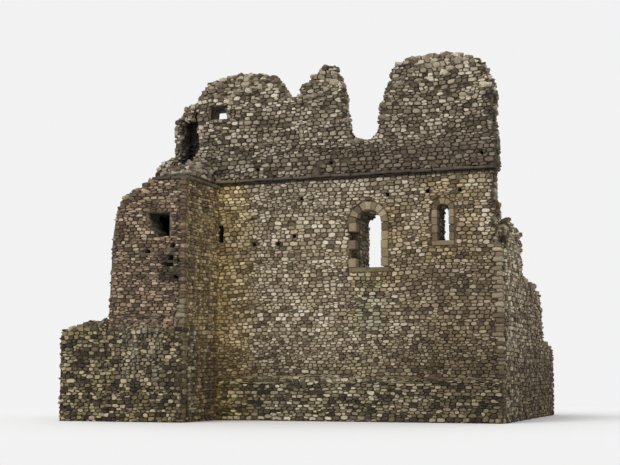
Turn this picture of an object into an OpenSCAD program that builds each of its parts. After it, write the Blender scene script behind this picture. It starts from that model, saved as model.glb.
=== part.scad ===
// Ruined stone keep: a two-storey hall block of rubble masonry, broken down on three sides,
// with a closet turret at one front corner and the first yards of the wall that met it.
// Millimetres. +X runs to the right along the front, +Y to the back, +Z up from the lowest foot.

/* [Keep] */
// Width of the main front, from the inner corner at the turret to the far corner
keep_w = 10800; // [9500:100:12500]
// Depth of the keep, front face to back face
keep_d = 10400; // [9000:100:12500]
// Wall thickness below the first floor
wall_t = 1800; // [1500:50:2200]
// Width of the ledge inside the front that carried the first floor
floor_step = 150; // [80:10:250]
// Height of that ledge
floor_z = 4400; // [3800:50:4800]
// How far the ground falls from the main front to the foot of the turret
ground_fall = 1000; // [600:50:1400]
// Height of the footing course over the ground at the main front
plinth_h = 500; // [300:20:700]
// How far the footing course stands proud of the front
plinth_out = 60; // [20:5:120]

/* [Upper storey] */
// Height of the top of the drip course
ledge_z = 9000; // [8600:50:9400]
// Thickness of the drip course slabs
drip_h = 100; // [60:5:160]
// How far the drip course stands out of the front
drip_out = 165; // [60:5:200]
// Thickness of the upper wall
upper_t = 1350; // [1000:50:1500]
// How far the upper wall is set back from the front
upper_back = 80; // [20:10:150]
// Height of the unbroken part of the upper wall
band_h = 1200; // [900:50:1350]
// Height of the highest masonry over the lowest foot
crest_z = 13200; // [12800:50:13600]

/* [Main window] */
// Left edge of the opening from the inner corner
main_x = 5500; // [5000:50:6000]
// Clear width of the opening
main_w = 950; // [700:10:1100]
// Height of the sill
main_sill_z = 5550; // [5300:50:5900]
// Height of the crown of the arch
main_crown_z = 7650; // [7300:50:7900]
// Depth of the straight part of the reveal
main_straight = 1500; // [900:50:1600]

/* [Narrow window] */
// Left edge of the opening from the inner corner
narrow_x = 8540; // [8200:20:8800]
// Clear width of the opening
narrow_w = 420; // [300:10:560]
// Height of the sill
narrow_sill_z = 6400; // [6100:50:6600]
// Height of the crown of the arch
narrow_crown_z = 7730; // [7500:10:8000]
// Depth of the straight part of the reveal
narrow_straight = 1000; // [500:50:1200]

/* [Window dressings] */
// Width of a jamb stone on the face, and of a voussoir ring
dress_w = 280; // [200:10:340]
// Depth of the dressed stones into the wall
dress_d = 400; // [250:10:500]
// Height of a sill stone
sill_h = 180; // [120:10:240]
// Open joint between two dressed stones
joint_w = 12; // [6:1:20]

/* [Turret] */
// Width of the turret
turret_w = 3000; // [2600:50:3400]
// How far the turret stands out of the front
turret_out = 2900; // [2400:50:3300]
// Thickness of the turret's front and left walls
turret_t = 900; // [700:50:1000]
// Thickness of the turret's right wall
turret_side_t = 590; // [450:10:700]
// Height of the rough lower stage of the turret
foot_h = 3300; // [2800:50:3800]
// Height of the drip course on the turret
turret_ledge_z = 8800; // [8600:20:8900]
// Width of the turret window
closet_w = 850; // [600:10:950]
// Height of the turret window sill
closet_z = 6620; // [6300:20:6800]
// Height of the turret window opening
closet_h = 880; // [700:10:1000]

/* [Side and back walls] */
// Width of the back doorway
door_w = 1300; // [1000:50:1600]
// Height of the springing of the doorway arch
door_spring_z = 2300; // [2000:50:2600]
// Length of the stub of wall that met the turret
stub_len = 2000; // [1500:50:2600]

/* [Rubble] */
// Length of one step along a ragged wall top
rag_step = 330; // [250:10:500]
// Height of one level of a broken mass
ring_rise = 260; // [200:20:400]
// Greatest bite out of a ragged edge
rag = 130; // [40:10:200]

/* [Hidden] */
$fn = 48;

plinth_z = ground_fall + plinth_h;
breast_z = main_sill_z - sill_h;
main_r = main_w / 2;
main_mid = main_x + main_r;
main_spring_z = main_crown_z - main_r;
narrow_r = narrow_w / 2;
narrow_mid = narrow_x + narrow_r;
narrow_spring_z = narrow_crown_z - narrow_r;
main_splay = 250;
narrow_splay = 450;
narrow_dress_w = 200;
slit_w = 210;
slit_z = 6640;
slit_h = 660;
band_z = ledge_z + band_h;
high_back = upper_back + upper_t - 60;
saddle_z = 11950;
end_slant = 400;
end_z = 7700;
putlog_w = 130;
putlog_d = 450;
bay_putlogs = [[1420, 6460], [2380, 6450], [3030, 6700]];
head_putlogs = [[3330, 8110], [6640, 8090], [8140, 8140], [9310, 8130]];
band_putlogs = [[1510, 9310], [4450, 9400], [10100, 9430]];
left_slant = 420;
right_slant = 300;
broken_jamb = [[400, 0], [330, 170], [170, 330], [110, 520], [0, 660]];
robbed_d = 330;
robbed_front = [
    [-570, 6200, 210, 170], [-1560, 6030, 210, 140], [-640, 5750, 210, 190], [-760, 5530, 330, 140],
    [-270, 5590, 130, 200], [-430, 5070, 220, 150]
];
robbed_side = [[-2880, 5470, 300, 200], [-2350, 4880, 220, 160]];
stub_t = 1400;
door_mid = keep_w / 2 - 1500;
door_ring = 200;
door_depth = 500;
hole_z = 11430;
hole_plan = [[-350, -200], [300, -200], [240, 1800], [-680, 1800]];
recess_left = -1640;
recess_right = -1020;
recess_top = 11480;
right_step = 2100;
left_step = 3600;

// The origin is the middle of the plan
plan_left = -turret_w - stub_len;
plan_right = keep_w;
plan_front = -turret_out - plinth_out;
plan_back = keep_d;
plan_mid = [(plan_left + plan_right) / 2, (plan_front + plan_back) / 2, 0];

module in_place() {
    translate(-plan_mid) children();
}

// Extrude a Y-Z profile along +X
module along_x(x, length) {
    translate([x, 0, 0]) rotate([90, 0, 90]) linear_extrude(length) children();
}

// Extrude an X-Z outline through the wall, from y to y + depth
module through(y, depth) {
    translate([0, y + depth, 0]) rotate([90, 0, 0]) linear_extrude(depth) children();
}

// Extrude an X-Y plan from z0 up to z1
module rise(z0, z1) {
    translate([0, 0, z0]) linear_extrude(z1 - z0) children();
}

// A block between two corners
module block(low, high) {
    translate(low) cube(high - low);
}

// Faces of a loft through rings of n points, closed at both ends by a centre point
function loft_sides(n, rings) = [
    for (k = [0 : rings - 2], i = [0 : n - 1])
        let (a = k * n + i, b = k * n + (i + 1) % n, c = b + n, d = a + n)
        each [[a, d, c], [a, c, b]]
];

// Points of one level ring, counter-clockwise from above, in units of half the size
long_n = 9;
ring_unit = concat(
    [for (i = [0 : long_n - 1]) [-0.96 + 1.92 * i / (long_n - 1), -1]],
    [[1, -0.5], [1, 0.5]],
    [for (i = [0 : long_n - 1]) [0.96 - 1.92 * i / (long_n - 1), 1]],
    [[-1, 0.5], [-1, -0.5]]
);
ring_n = len(ring_unit);

// One ring between left, right, front and back at height z, each point bitten inwards.
// The right end is slanted: at the back it lies further left than at the front.
function level_ring(z, l, r, f, b, slant, bites, lift) = [
    for (i = [0 : ring_n - 1])
        let (u = ring_unit[i], end = r - slant * (u[1] + 1) / 2)
        [
            (l + end) / 2 + u[0] * ((end - l) / 2 - bites[i]),
            (f + b) / 2 + u[1] * ((b - f) / 2 - bites[ring_n - 1 - i]),
            z + lift[i]
        ]
];

// A broken mass of masonry lofted from level rings.
// Each side is a table of [height, place], so flanks lean and bulge as the table says.
// A flat top carries the masonry above it; any other top is ragged and rises to its middle.
module crag(z0, z1, left, right, front, back, seed, bite = rag, flat_top = false, slant = 0) {
    rings = max(2, round((z1 - z0) / ring_rise) + 1);
    dz = (z1 - z0) / (rings - 1);
    middle = [for (z = [z0, z1]) [
        (lookup(z, left) + lookup(z, right) - slant / 2) / 2,
        (lookup(z, front) + lookup(z, back)) / 2,
        z
    ]];
    points = concat(
        [
            for (k = [0 : rings - 1])
                let (
                    z = z0 + k * dz,
                    wild = k == 0 || (flat_top && k == rings - 1) ? 0 : bite
                )
                each level_ring(
                    z, lookup(z, left), lookup(z, right), lookup(z, front), lookup(z, back), slant,
                    [for (r = rands(-0.4, 0.6, ring_n, seed + k)) r * wild],
                    [for (r = rands(-0.5, 0.4, ring_n, seed + 50 + k)) r * wild]
                )
        ],
        [middle[0], middle[1] + [0, 0, flat_top ? 0 : 60]]
    );
    last = (rings - 1) * ring_n;
    low_i = rings * ring_n;
    faces = concat(
        loft_sides(ring_n, rings),
        [for (i = [0 : ring_n - 1]) [i, (i + 1) % ring_n, low_i]],
        [for (i = [0 : ring_n - 1]) [last + (i + 1) % ring_n, last + i, low_i + 1]]
    );
    polyhedron(points, faces);
}

// A length of wall along +X with a ragged top, lofted from cross-sections.
// tops is a table of [distance, height]; the crest is higher than the two faces.
module ragged_wall(length, thick, z0, tops, seed, bite = rag) {
    steps = max(2, round(length / rag_step));
    n = 7;
    points = [
        for (k = [0 : steps])
            let (
                x = length * k / steps,
                z = lookup(x, tops),
                j = rands(-bite, bite, 5, seed + k)
            )
            each [
                [x, 0, z0],
                [x, thick, z0],
                [x, thick, z - 200 + j[0]],
                [x, thick * 0.74, z - 40 + j[1]],
                [x, thick * 0.5, z + 0.6 * j[2]],
                [x, thick * 0.26, z - 40 + j[3]],
                [x, 0, z - 170 + j[4]]
            ]
    ];
    faces = concat(
        [[for (i = [0 : n - 1]) i]],
        loft_sides(n, steps + 1),
        [concat([steps * n], [for (i = [n - 1 : -1 : 1]) steps * n + i])]
    );
    polyhedron(points, faces);
}

// Plan of a window opening behind its dressings, from the face to the inner face
module opening_plan(mid, half, splay, straight) {
    polygon([
        [mid - half, -1], [mid + half, -1],
        [mid + half, straight], [mid + half + splay, wall_t + 1],
        [mid - half - splay, wall_t + 1], [mid - half, straight]
    ]);
}

// Seat of the dressings of a window, cut into the wall's face
module dressing_plan(mid, half, width) {
    polygon([
        [mid - half - width, -1], [mid + half + width, -1],
        [mid + half + width, dress_d], [mid - half - width, dress_d]
    ]);
}

// The straight part of each window, with the seat of its jambs
module main_window_cut(z0, z1) {
    rise(z0, z1) opening_plan(main_mid, main_r, main_splay, main_straight);
    rise(z0, z1) dressing_plan(main_mid, main_r, dress_w);
}

module narrow_window_cut(z0, z1) {
    rise(z0, z1) opening_plan(narrow_mid, narrow_r, narrow_splay, narrow_straight);
    rise(z0, z1) dressing_plan(narrow_mid, narrow_r, narrow_dress_w);
}

// Slit in the corner beside the turret, which runs through two courses of the front wall
module corner_slit() {
    block([-1, -1, slit_z], [slit_w, wall_t + 1, slit_z + slit_h]);
}

// Holes left by the scaffold's timbers, each given by its left lower corner
module putlog_holes(corners, front = 0) {
    for (p = corners) {
        block([p[0], front - 1, p[1]], [p[0] + putlog_w, front + putlog_d, p[1] + putlog_w]);
    }
}

// The far end of the front is broken on a slant, deeper at the back of the wall
module broken_end(z0, z1, bite, slant) {
    rise(z0, z1) polygon([
        [keep_w - bite, -200], [keep_w + 200, -200], [keep_w + 200, wall_t + 200],
        [keep_w - bite - slant, wall_t + 200]
    ]);
}

// Round head of an opening: seat of the ring, straight barrel, then a coned splay
module head_cut(mid, spring, half, width, splay, straight) {
    translate([mid, 0, spring]) rotate([-90, 0, 0]) {
        translate([0, 0, -1]) cylinder(r = half + width, h = dress_d + 1);
        cylinder(r = half, h = straight + 1);
        translate([0, 0, straight]) cylinder(r1 = half, r2 = half + splay, h = wall_t - straight + 1);
    }
}

// One side's stack of jamb stones, with the robbed ones left out
module jamb_stack(x, width, z0, z1, count, robbed) {
    h = (z1 - z0) / count;
    for (i = [0 : count - 1]) {
        if (len(search(i, robbed)) == 0) {
            block(
                [x, 0, z0 + i * h + joint_w / 2],
                [x + width, dress_d, z0 + (i + 1) * h - joint_w / 2]
            );
        }
    }
}

// Half ring of wedge-shaped arch stones
module voussoirs(mid, spring, half, width, depth, count, y) {
    step = 180 / count;
    outer = half + width - 2;
    slack = joint_w / (half + width) * 90 / PI;
    translate([mid, y + depth, spring]) rotate([90, 0, 0]) {
        for (i = [0 : count - 1]) {
            a0 = i * step + slack;
            a1 = (i + 1) * step - slack;
            am = (a0 + a1) / 2;
            linear_extrude(depth) polygon([
                half * [cos(a0), sin(a0)], outer * [cos(a0), sin(a0)],
                outer * [cos(am), sin(am)], outer * [cos(a1), sin(a1)],
                half * [cos(a1), sin(a1)], half * [cos(am), sin(am)]
            ]);
        }
    }
}

// A run of drip slabs along +X with open joints
module drip_run(x0, x1, front, back, z) {
    count = max(1, round((x1 - x0) / 780));
    pitch = (x1 - x0) / count;
    for (i = [0 : count - 1]) {
        left = x0 + i * pitch + joint_w / 2;
        block([left, front, z - drip_h], [left + pitch - joint_w, back, z]);
    }
}

// Left edge of the turret, which leans in and breaks away towards the top
turret_edge = [
    [0, -turret_w - 50], [4200, -turret_w], [6200, -turret_w + 50], [7900, -turret_w + 300],
    [8200, -turret_w + 600], [8500, -turret_w + 1300], [8800, -turret_w + 1650]
];
function turret_left(z) = lookup(z, turret_edge);

module front_plinth() {
    color([0.40, 0.36, 0.31]) in_place()
        block([0, -plinth_out, 0], [keep_w, wall_t, plinth_z]);
}

module front_wall_base() {
    color([0.52, 0.47, 0.40]) in_place()
        block([0, 0, plinth_z], [keep_w, wall_t, breast_z]);
}

// Inner offset of the front wall, on which the floor joists lay
module floor_ledge() {
    color([0.46, 0.42, 0.36]) in_place()
        block([-turret_w + wall_t, wall_t, 0], [keep_w - wall_t, wall_t + floor_step, floor_z]);
}

module front_wall_left_bay() {
    color([0.54, 0.49, 0.41]) in_place()
        difference() {
            block([0, 0, breast_z], [main_x + main_r, wall_t, main_spring_z]);
            main_window_cut(breast_z - 1, main_spring_z + 1);
            corner_slit();
            putlog_holes(bay_putlogs);
        }
}

module front_wall_middle_pier() {
    color([0.54, 0.49, 0.41]) in_place()
        difference() {
            block([main_mid, 0, breast_z], [narrow_mid, wall_t, main_spring_z]);
            main_window_cut(breast_z - 1, main_spring_z + 1);
            narrow_window_cut(breast_z - 1, main_spring_z + 1);
        }
}

// The far corner has lost its quoins in the upper half, and the courses behind them show as teeth
module front_wall_right_bay() {
    teeth = 6;
    tooth = (main_spring_z - breast_z) / teeth;
    color([0.54, 0.49, 0.41]) in_place()
        difference() {
            block([narrow_mid, 0, breast_z], [keep_w, wall_t, main_spring_z]);
            narrow_window_cut(breast_z - 1, main_spring_z + 1);
            for (i = [3 : teeth - 1]) {
                block(
                    [keep_w - 150 - 120 * (i % 2), -1, breast_z + i * tooth],
                    [keep_w + 1, 700 + 250 * (i % 2), breast_z + (i + 1) * tooth + 1]
                );
            }
        }
}

module front_wall_window_heads() {
    color([0.54, 0.49, 0.41]) in_place()
        difference() {
            along_x(0, keep_w) polygon([
                [0, main_spring_z], [wall_t, main_spring_z], [wall_t, ledge_z],
                [dress_d, ledge_z], [dress_d, ledge_z - drip_h], [0, ledge_z - drip_h]
            ]);
            head_cut(main_mid, main_spring_z, main_r, dress_w, main_splay, main_straight);
            head_cut(narrow_mid, narrow_spring_z, narrow_r, narrow_dress_w, narrow_splay, narrow_straight);
            narrow_window_cut(main_spring_z - 1, narrow_spring_z);
            broken_end(main_spring_z - 1, end_z, 90, end_slant);
            broken_end(end_z, ledge_z + 1, 190, end_slant);
            corner_slit();
            putlog_holes(head_putlogs);
        }
}

module front_wall_behind_turret() {
    color([0.48, 0.43, 0.37]) in_place()
        block([-turret_w, 0, 0], [0, wall_t, ledge_z]);
}

module main_window_sill() {
    color([0.56, 0.55, 0.50]) in_place()
        block([main_x - dress_w, 0, breast_z], [main_x + main_w + dress_w, dress_d, main_sill_z]);
}

module main_window_jambs() {
    color([0.58, 0.57, 0.52]) in_place() {
        jamb_stack(main_x - dress_w, dress_w, main_sill_z, main_spring_z, 5, [1, 3]);
        jamb_stack(main_x + main_w, dress_w, main_sill_z, main_spring_z, 5, []);
    }
}

module main_window_arch() {
    color([0.58, 0.57, 0.52]) in_place()
        voussoirs(main_mid, main_spring_z, main_r, dress_w, dress_d, 9, 0);
}

module narrow_window_breast() {
    color([0.54, 0.49, 0.41]) in_place()
        rise(breast_z, narrow_sill_z - sill_h) intersection() {
            union() {
                opening_plan(narrow_mid, narrow_r, narrow_splay, narrow_straight);
                dressing_plan(narrow_mid, narrow_r, narrow_dress_w);
            }
            translate([narrow_mid - 1000, 0]) square([2000, wall_t]);
        }
}

module narrow_window_sill() {
    color([0.56, 0.55, 0.50]) in_place()
        block(
            [narrow_x - narrow_dress_w, 0, narrow_sill_z - sill_h],
            [narrow_x + narrow_w + narrow_dress_w, dress_d, narrow_sill_z]
        );
}

module narrow_window_jambs() {
    color([0.58, 0.57, 0.52]) in_place() {
        jamb_stack(narrow_x - narrow_dress_w, narrow_dress_w, narrow_sill_z, narrow_spring_z, 4, []);
        jamb_stack(narrow_x + narrow_w, narrow_dress_w, narrow_sill_z, narrow_spring_z, 4, []);
    }
}

module narrow_window_arch() {
    color([0.58, 0.57, 0.52]) in_place()
        voussoirs(narrow_mid, narrow_spring_z, narrow_r, narrow_dress_w, dress_d, 5, 0);
}

module drip_course() {
    color([0.36, 0.32, 0.28]) in_place()
        drip_run(0, keep_w - 100, -drip_out, dress_d, ledge_z);
}

// Foot of the upper wall
module upper_wall_band() {
    color([0.45, 0.42, 0.37]) in_place()
        difference() {
            block([recess_right, upper_back, ledge_z], [keep_w, upper_back + upper_t, band_z]);
            broken_end(ledge_z - 1, band_z + 1, 70, end_slant);
            putlog_holes(band_putlogs, upper_back);
        }
}

// Upper wall under the left hump and the pinnacle. A small hole runs clean through it,
// and the hump above spans it.
module upper_left_wall() {
    color([0.50, 0.48, 0.43]) in_place()
        difference() {
            crag(
                band_z, saddle_z,
                [[band_z, recess_right], [saddle_z, recess_right - 30]],
                [[band_z, 5460], [10600, 5300], [11100, 5130], [saddle_z, 5060]],
                [[band_z, upper_back], [saddle_z, upper_back]],
                [[band_z, upper_back + upper_t], [saddle_z, high_back]],
                11, rag, true, left_slant
            );
            rise(hole_z, saddle_z + 1) polygon(hole_plan);
        }
}

module upper_left_crag() {
    color([0.50, 0.48, 0.43]) in_place()
        crag(
            saddle_z, crest_z - 60,
            [
                [saddle_z, recess_right - 30], [12300, -980], [12450, -910], [12840, -580],
                [13070, -320], [13140, 60]
            ],
            [
                [saddle_z, 2880], [12200, 2800], [12500, 2660], [12800, 2380], [13070, 2060],
                [13140, 1700]
            ],
            [[saddle_z, upper_back], [12600, upper_back + 30], [13140, upper_back + 300]],
            [[saddle_z, high_back], [12300, high_back - 20], [13140, high_back - 320]],
            111, slant = left_slant
        );
}

module upper_pinnacle() {
    color([0.50, 0.48, 0.43]) in_place()
        crag(
            saddle_z, crest_z,
            [[saddle_z, 3170], [12450, 3330], [12650, 3660], [12960, 3850], [13200, 4020]],
            [[saddle_z, 5060], [12280, 5080], [12660, 4900], [13090, 4740], [13200, 4640]],
            [[saddle_z, upper_back], [12400, upper_back + 60], [13200, upper_back + 330]],
            [[saddle_z, high_back], [12300, high_back - 100], [13200, high_back - 400]],
            211, slant = left_slant
        );
}

module upper_right_crag() {
    color([0.50, 0.48, 0.43]) in_place()
        crag(
            band_z, crest_z + 30,
            [
                [band_z, 6130], [10600, 6300], [10900, 6370], [11400, 6380], [11900, 6520],
                [12400, 6750], [12800, 6890], [13080, 7110], [13230, 7380]
            ],
            [
                [band_z, 10690], [10700, 10650], [11200, 10720], [11600, 10710], [12150, 10570],
                [12700, 10290], [13000, 9950], [13230, 9400]
            ],
            [[band_z, upper_back], [12700, upper_back + 40], [13230, upper_back + 280]],
            [[band_z, upper_back + upper_t], [12400, high_back], [13230, high_back - 320]],
            411, slant = right_slant
        );
}

module recess_back() {
    color([0.38, 0.34, 0.30]) in_place()
        block([recess_left, 900, ledge_z], [recess_right, upper_back + upper_t, recess_top]);
}

module recess_jamb() {
    color([0.42, 0.38, 0.33]) in_place()
        crag(
            ledge_z, 11500,
            [[ledge_z, -1990], [10100, -1930], [11000, -1880], [11500, -1800]],
            [[ledge_z, recess_left], [11500, recess_left - 10]],
            [[ledge_z, upper_back], [11500, upper_back + 100]],
            [[ledge_z, upper_back + upper_t], [11500, upper_back + upper_t - 200]],
            611, 40
        );
}

module recess_head() {
    color([0.42, 0.38, 0.33]) in_place()
        crag(
            recess_top, 12150,
            [[recess_top, -1780], [11800, -1520], [12150, -1380]],
            [[recess_top, recess_right - 100], [12150, recess_right - 100]],
            [[recess_top, upper_back + 60], [12150, upper_back + 250]],
            [[recess_top, upper_back + upper_t], [12150, upper_back + upper_t - 250]],
            711, 50
        );
}

module turret_shoulder() {
    color([0.42, 0.38, 0.33]) in_place()
        crag(
            ledge_z, 10000,
            [[ledge_z, -turret_w + 60], [9500, -turret_w + 250], [10000, -turret_w + 620]],
            [[ledge_z, -1980], [10000, -1990]],
            [[ledge_z, upper_back], [10000, upper_back + 250]],
            [[ledge_z, upper_back + upper_t], [10000, upper_back + upper_t - 300]],
            811
        );
}

// Front wall of the turret between two heights, from its leaning left edge to x1
module turret_face(z0, z1, x1, front = -turret_out) {
    through(front, -turret_out + turret_t - front)
        polygon([[turret_left(z0), z0], [x1, z0], [x1, z1], [turret_left(z1), z1]]);
}

module turret_foot() {
    color([0.40, 0.37, 0.32]) in_place()
        turret_face(0, foot_h, 0, -turret_out - plinth_out);
}

// Each place of a robbed stone is given by its near lower corner, its width and its height
module turret_front_wall() {
    color([0.42, 0.36, 0.32]) in_place()
        difference() {
            turret_face(foot_h, closet_z, 0);
            for (p = robbed_front) {
                block(
                    [p[0], -turret_out - 1, p[1]],
                    [p[0] + p[2], -turret_out + robbed_d, p[1] + p[3]]
                );
            }
            for (p = robbed_side) {
                block([-robbed_d, p[0], p[1]], [1, p[0] + p[2], p[1] + p[3]]);
            }
        }
}

// The lower part of this jamb still stands forward, where the stones above it have gone
module turret_window_left() {
    jamb_x = -turret_side_t - closet_w;
    z1 = closet_z + closet_h;
    color([0.42, 0.36, 0.32]) in_place()
        through(-turret_out, turret_t) polygon(concat(
            [[turret_left(closet_z), closet_z]],
            [for (p = broken_jamb) [jamb_x + p[0], closet_z + p[1]]],
            [[jamb_x, z1], [turret_left(z1), z1]]
        ));
}

module turret_window_right() {
    color([0.42, 0.36, 0.32]) in_place()
        block([-turret_side_t, -turret_out, closet_z], [0, -turret_out + turret_t, closet_z + closet_h]);
}

module turret_right_wall() {
    color([0.44, 0.38, 0.31]) in_place()
        block([-turret_side_t, -turret_out + turret_t, 0], [0, 0, closet_z + closet_h]);
}

module turret_left_wall() {
    color([0.42, 0.36, 0.32]) in_place()
        through(-turret_out + turret_t, turret_out - turret_t)
            polygon([
                [turret_left(0), 0], [-turret_w + turret_t, 0], [-turret_w + turret_t, closet_z + closet_h],
                [turret_left(closet_z + closet_h), closet_z + closet_h], [turret_left(closet_z), closet_z],
                [turret_left(4200), 4200]
            ]);
}

// Broken top of the turret: it closes the closet and falls away to the left
module turret_cap() {
    z0 = closet_z + closet_h;
    color([0.42, 0.36, 0.32]) in_place()
        crag(
            z0, turret_ledge_z - drip_h,
            [for (p = turret_edge) [p[0], p[1]]],
            [[z0, 0], [9000, 0]],
            [[z0, -turret_out], [9000, -turret_out + 30]],
            [[z0, 0], [9000, 0]],
            911, 50
        );
}

module turret_drip_course() {
    color([0.36, 0.32, 0.28]) in_place()
        drip_run(-1300, drip_out, -turret_out - plinth_out, -drip_out - joint_w, turret_ledge_z);
}

module turret_rubble() {
    color([0.42, 0.38, 0.33]) in_place()
        crag(
            turret_ledge_z, 9700,
            [[turret_ledge_z, -1280], [9700, -900]],
            [[turret_ledge_z, -60], [9700, -380]],
            [[turret_ledge_z, -turret_out + 60], [9200, -1500], [9700, -700]],
            [[turret_ledge_z, -180], [9700, -80]],
            1011, 80
        );
}

module wall_stub() {
    color([0.40, 0.38, 0.32]) in_place()
        translate([-turret_w - stub_len, -turret_out + 50, 0])
            ragged_wall(stub_len - 60, stub_t, 0, [[0, 3350], [900, 3560], [stub_len, 3720]], 1111);
}

module right_wall_front() {
    color([0.46, 0.42, 0.36]) in_place()
        translate([keep_w, wall_t, 0]) rotate([0, 0, 90])
            ragged_wall(
                right_step, wall_t, 0,
                [[0, 7160], [1500, 7100], [1700, 6900], [right_step, 5500]], 1211
            );
}

module right_wall_back() {
    length = keep_d - wall_t - right_step;
    color([0.46, 0.42, 0.36]) in_place()
        translate([keep_w, wall_t + right_step, 0]) rotate([0, 0, 90])
            ragged_wall(
                length, wall_t, 0,
                [[0, 5420], [1800, 5300], [3600, 5020], [4000, 3300], [5000, 2950], [length, 2820]],
                1311
            );
}

module left_wall_front() {
    color([0.46, 0.42, 0.36]) in_place()
        translate([-turret_w + wall_t, wall_t, 0]) rotate([0, 0, 90])
            ragged_wall(
                left_step, wall_t, 0,
                [[0, 7400], [900, 6900], [1800, 6700], [2700, 5600], [left_step, 5200]], 1411
            );
}

module left_wall_back() {
    length = keep_d - wall_t - left_step;
    color([0.46, 0.42, 0.36]) in_place()
        translate([-turret_w + wall_t, wall_t + left_step, 0]) rotate([0, 0, 90])
            ragged_wall(length, wall_t, 0, [[0, 5150], [1500, 4500], [3000, 3800], [length, 3900]], 1511);
}

module back_wall_left() {
    length = door_mid - door_w / 2 - (-turret_w + wall_t);
    color([0.46, 0.42, 0.36]) in_place()
        translate([-turret_w + wall_t, keep_d - wall_t, 0])
            ragged_wall(length, wall_t, 0, [[0, 3850], [1600, 3400], [3000, 4000], [length, 4300]], 1611);
}

module back_wall_right() {
    length = keep_w - wall_t - door_mid - door_w / 2;
    color([0.46, 0.42, 0.36]) in_place()
        translate([door_mid + door_w / 2, keep_d - wall_t, 0])
            ragged_wall(length, wall_t, 0, [[0, 4300], [1500, 3600], [2800, 3000], [length, 2850]], 1711);
}

module back_wall_over_door() {
    color([0.46, 0.42, 0.36]) in_place()
        difference() {
            translate([door_mid - door_w / 2, keep_d - wall_t, 0])
                ragged_wall(door_w, wall_t, door_spring_z, [[0, 4300], [door_w, 4300]], 1811);
            translate([door_mid, keep_d - wall_t - 1, door_spring_z]) rotate([-90, 0, 0])
                cylinder(r = door_w / 2, h = wall_t + 2);
        }
}

module back_doorway_arch() {
    color([0.56, 0.55, 0.50]) in_place()
        voussoirs(
            door_mid, door_spring_z, door_w / 2 - door_ring, door_ring, door_depth, 9,
            keep_d - door_depth
        );
}

front_plinth();
front_wall_base();
front_wall_left_bay();
front_wall_middle_pier();
front_wall_right_bay();
front_wall_window_heads();
front_wall_behind_turret();
floor_ledge();
main_window_sill();
main_window_jambs();
main_window_arch();
narrow_window_breast();
narrow_window_sill();
narrow_window_jambs();
narrow_window_arch();
drip_course();
upper_wall_band();
upper_left_wall();
upper_left_crag();
upper_pinnacle();
upper_right_crag();
recess_back();
recess_jamb();
recess_head();
turret_shoulder();
turret_foot();
turret_front_wall();
turret_window_left();
turret_window_right();
turret_right_wall();
turret_left_wall();
turret_cap();
turret_drip_course();
turret_rubble();
wall_stub();
right_wall_front();
right_wall_back();
left_wall_front();
left_wall_back();
back_wall_left();
back_wall_right();
back_wall_over_door();
back_doorway_arch();
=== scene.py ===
import math
import random

import bmesh
import bpy
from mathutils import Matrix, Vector, geometry, noise


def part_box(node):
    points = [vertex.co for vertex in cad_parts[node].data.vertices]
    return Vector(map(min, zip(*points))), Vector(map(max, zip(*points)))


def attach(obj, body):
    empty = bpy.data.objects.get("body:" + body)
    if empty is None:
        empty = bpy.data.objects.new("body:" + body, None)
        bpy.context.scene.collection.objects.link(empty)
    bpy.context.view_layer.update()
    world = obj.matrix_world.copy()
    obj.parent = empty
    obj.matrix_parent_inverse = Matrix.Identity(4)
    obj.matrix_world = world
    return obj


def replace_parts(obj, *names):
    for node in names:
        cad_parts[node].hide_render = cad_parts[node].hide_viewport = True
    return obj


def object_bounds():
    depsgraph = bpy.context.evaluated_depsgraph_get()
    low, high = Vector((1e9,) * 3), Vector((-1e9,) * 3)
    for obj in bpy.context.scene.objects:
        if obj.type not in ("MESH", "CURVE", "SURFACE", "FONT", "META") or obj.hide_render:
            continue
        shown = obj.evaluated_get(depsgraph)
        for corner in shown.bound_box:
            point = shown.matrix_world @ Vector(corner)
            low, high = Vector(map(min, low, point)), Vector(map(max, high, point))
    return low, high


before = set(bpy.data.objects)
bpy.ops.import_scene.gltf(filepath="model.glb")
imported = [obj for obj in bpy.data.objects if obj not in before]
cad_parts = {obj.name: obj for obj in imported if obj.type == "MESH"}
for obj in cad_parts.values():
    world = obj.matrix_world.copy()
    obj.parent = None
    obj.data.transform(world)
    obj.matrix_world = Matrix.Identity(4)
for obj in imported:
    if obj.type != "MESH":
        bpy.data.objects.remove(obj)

CAD_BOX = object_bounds()


# The camera stands where the photograph was taken, about 45 m away and to the right of the main
# front, at eye height over a slight dip, and looks up a little at the keep. Its lens is longer than
# the photograph's, so that the keep fills the picture.
EYE = Vector((16.59, -46.37, 1.63))
TURN_LEFT = 20.3
LOOK_UP = 6.6
LENS_MM = 72.0

camera = bpy.data.objects.new("camera", bpy.data.cameras.new("camera"))
bpy.context.scene.collection.objects.link(camera)
camera.location = EYE
camera.rotation_euler = (math.radians(90 + LOOK_UP), 0, math.radians(TURN_LEFT))
camera.data.sensor_width = 36.0
camera.data.lens = LENS_MM
camera.data.clip_end = 400.0
bpy.context.scene.camera = camera


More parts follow.
